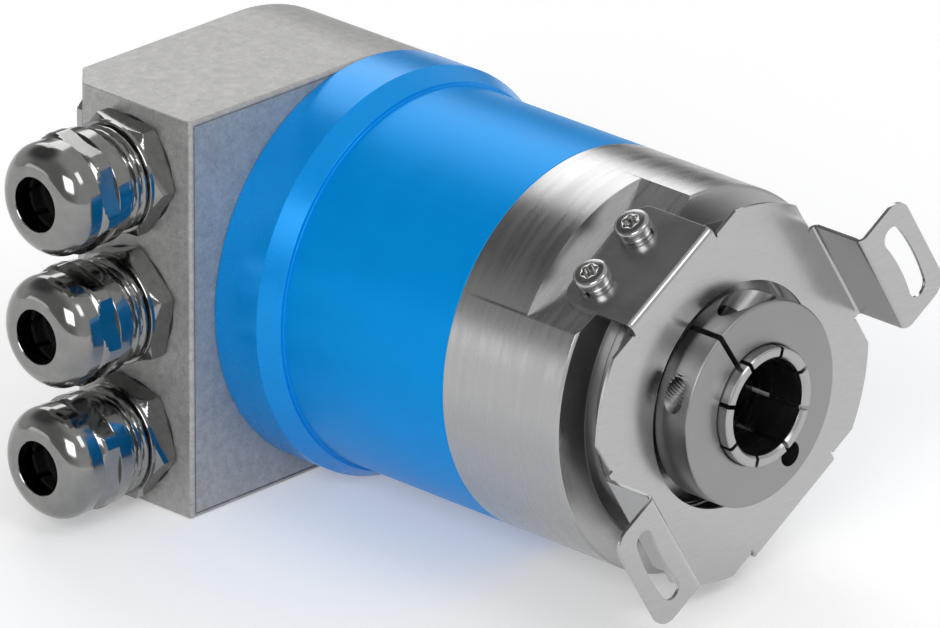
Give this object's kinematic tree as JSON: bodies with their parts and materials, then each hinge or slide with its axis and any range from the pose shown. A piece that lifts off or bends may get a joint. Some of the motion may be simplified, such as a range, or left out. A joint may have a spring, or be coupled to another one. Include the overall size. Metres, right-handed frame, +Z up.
{
  "type": "rotary encoder",
  "caption": "absolute rotary encoder with a blind hollow shaft, split clamp ring, folded stator coupling, blue cylindrical housing and a D-shaped adaptor box with cable glands",
  "frame": {"origin": "centre of the hollow shaft's mouth", "axes": "+Z up, the shaft axis along Y with the bore opening towards -Y, the cable glands towards -X"},
  "size_m": [0.0925, 0.1147, 0.0646],
  "materials": {
    "turned_aluminium": "satin turned",
    "shaft_steel": "fine turned",
    "blue_lacquer": "satin lacquer",
    "cast_grey": "matt, as cast and tumbled",
    "cover_sheet": "satin sheet",
    "spring_sheet": "brushed stainless sheet",
    "screw_steel": "bright stainless",
    "black_steel": "black oxide",
    "nickel": "polished nickel plate",
    "bearing_steel": "ground",
    "cage_plastic": "moulded",
    "black_rubber": "matt",
    "circuit_board": "solder resist",
    "disc_glass": "clear",
    "gear_plastic": "moulded",
    "gear_plate": "rolled",
    "magnet": "sintered",
    "black_plastic": "moulded",
    "terminal_green": "moulded"
  },
  "bodies": {
    "housing": {"flange_housing": "turned_aluminium", "front_cover": "turned_aluminium", "shaft_seal": "black_rubber", "front_bearing_outer_ring": "bearing_steel", "rear_bearing_outer_ring": "bearing_steel", "bearing_circlip": "spring_sheet", "housing_o_ring": "black_rubber", "blue_housing": "blue_lacquer", "light_source": "black_plastic", "sensor_board": "circuit_board", "read_head": "black_plastic", "board_spacers": "bearing_steel", "gearbox_plate": "gear_plate", "gearbox_pillars": "bearing_steel", "gear_axles": "bearing_steel", "turn_counter_board": "circuit_board", "board_socket": "black_plastic", "adaptor_plug": "black_plastic", "adaptor_board": "circuit_board", "adaptor_box": "cast_grey", "adaptor_gasket": "black_rubber", "adaptor_screws": "screw_steel", "terminal_blocks": "terminal_green", "switch_bodies": "black_plastic", "rear_cover": "cover_sheet", "rear_cover_gasket": "black_rubber", "rear_cover_screws": "screw_steel", "stator_coupling": "spring_sheet", "coupling_screws": "screw_steel", "lock_washers": "spring_sheet", "gland_bodies": "nickel", "gland_o_rings": "black_rubber", "gland_seals": "black_rubber"},
    "rotor": {"hollow_shaft": "shaft_steel", "clamp_ring": "turned_aluminium", "shaft_circlip": "spring_sheet", "front_bearing_inner_ring": "bearing_steel", "rear_bearing_inner_ring": "bearing_steel", "bearing_spacer": "turned_aluminium", "disc_hub": "turned_aluminium", "code_disc": "disc_glass", "drive_pinion": "bearing_steel"},
    "clamp_screw": {"clamp_screw": "black_steel"},
    "front_ball_set": {"front_bearing_balls": "bearing_steel", "front_bearing_cage": "cage_plastic"},
    "rear_ball_set": {"rear_bearing_balls": "bearing_steel", "rear_bearing_cage": "cage_plastic"},
    "turn_gear_1": {"turn_gear_1": "gear_plastic", "turn_magnet_1": "magnet"},
    "turn_gear_2": {"turn_gear_2": "gear_plastic", "turn_magnet_2": "magnet"},
    "address_dial_tens": {"address_dial_tens": "gear_plastic"},
    "address_dial_units": {"address_dial_units": "gear_plastic"},
    "gland_cage_1": {"gland_cage_1": "cage_plastic"},
    "gland_cap_1": {"gland_cap_1": "nickel"},
    "gland_cage_2": {"gland_cage_2": "cage_plastic"},
    "gland_cap_2": {"gland_cap_2": "nickel"},
    "gland_cage_3": {"gland_cage_3": "cage_plastic"},
    "gland_cap_3": {"gland_cap_3": "nickel"}
  },
  "joints": [
    {"name": "rotor_spin", "type": "hinge", "parent": "housing", "child": "rotor", "pos_m": [0, 0, 0], "axis": [0, -1, 0], "continuous": true},
    {"name": "clamp_screw_turn", "type": "hinge", "parent": "rotor", "child": "clamp_screw", "pos_m": [-0.00699, 0.00505, 0.01048], "axis": [-0.832, 0, -0.5548], "range_deg": [-360, 90]},
    {"name": "front_balls_run", "type": "hinge", "parent": "housing", "child": "front_ball_set", "pos_m": [0, 0.0237, 0], "axis": [0, -1, 0], "continuous": true},
    {"name": "rear_balls_run", "type": "hinge", "parent": "housing", "child": "rear_ball_set", "pos_m": [0, 0.0347, 0], "axis": [0, -1, 0], "continuous": true},
    {"name": "turn_gear_1_spin", "type": "hinge", "parent": "housing", "child": "turn_gear_1", "pos_m": [0.0105, 0.059, 0], "axis": [0, -1, 0], "continuous": true},
    {"name": "turn_gear_2_spin", "type": "hinge", "parent": "housing", "child": "turn_gear_2", "pos_m": [0.0105, 0.062, 0.0105], "axis": [0, -1, 0], "continuous": true},
    {"name": "address_tens_turn", "type": "hinge", "parent": "housing", "child": "address_dial_tens", "pos_m": [0.004, 0.0965, 0.008], "axis": [0, 1, 0], "range_deg": [0, 324]},
    {"name": "address_units_turn", "type": "hinge", "parent": "housing", "child": "address_dial_units", "pos_m": [0.004, 0.0965, -0.008], "axis": [0, 1, 0], "range_deg": [0, 324]},
    {"name": "gland_1_travel", "type": "slide", "parent": "housing", "child": "gland_cage_1", "axis": [-1, 0, 0], "range_m": [-0.0009, 0.0045]},
    {"name": "gland_1_turn", "type": "hinge", "parent": "gland_cage_1", "child": "gland_cap_1", "pos_m": [-0.0545, 0.0959, 0.02135], "axis": [-1, 0, 0], "range_deg": [-210, 1075]},
    {"name": "gland_2_travel", "type": "slide", "parent": "housing", "child": "gland_cage_2", "axis": [-1, 0, 0], "range_m": [-0.0009, 0.0045]},
    {"name": "gland_2_turn", "type": "hinge", "parent": "gland_cage_2", "child": "gland_cap_2", "pos_m": [-0.0545, 0.0959, 0], "axis": [-1, 0, 0], "range_deg": [-210, 1075]},
    {"name": "gland_3_travel", "type": "slide", "parent": "housing", "child": "gland_cage_3", "axis": [-1, 0, 0], "range_m": [-0.0009, 0.0045]},
    {"name": "gland_3_turn", "type": "hinge", "parent": "gland_cage_3", "child": "gland_cap_3", "pos_m": [-0.0545, 0.0959, -0.02135], "axis": [-1, 0, 0], "range_deg": [-210, 1075]}
  ],
  "couplings": [
    {"joint": "front_balls_run", "follows": "rotor_spin", "ratio": 0.43269},
    {"joint": "rear_balls_run", "follows": "rotor_spin", "ratio": 0.43269},
    {"joint": "turn_gear_1_spin", "follows": "rotor_spin", "ratio": -0.25},
    {"joint": "turn_gear_2_spin", "follows": "rotor_spin", "ratio": 0.0625},
    {"joint": "gland_1_travel", "follows": "gland_1_turn", "m_per_rad": 0.00023873},
    {"joint": "gland_2_travel", "follows": "gland_2_turn", "m_per_rad": 0.00023873},
    {"joint": "gland_3_travel", "follows": "gland_3_turn", "m_per_rad": 0.00023873}
  ]
}
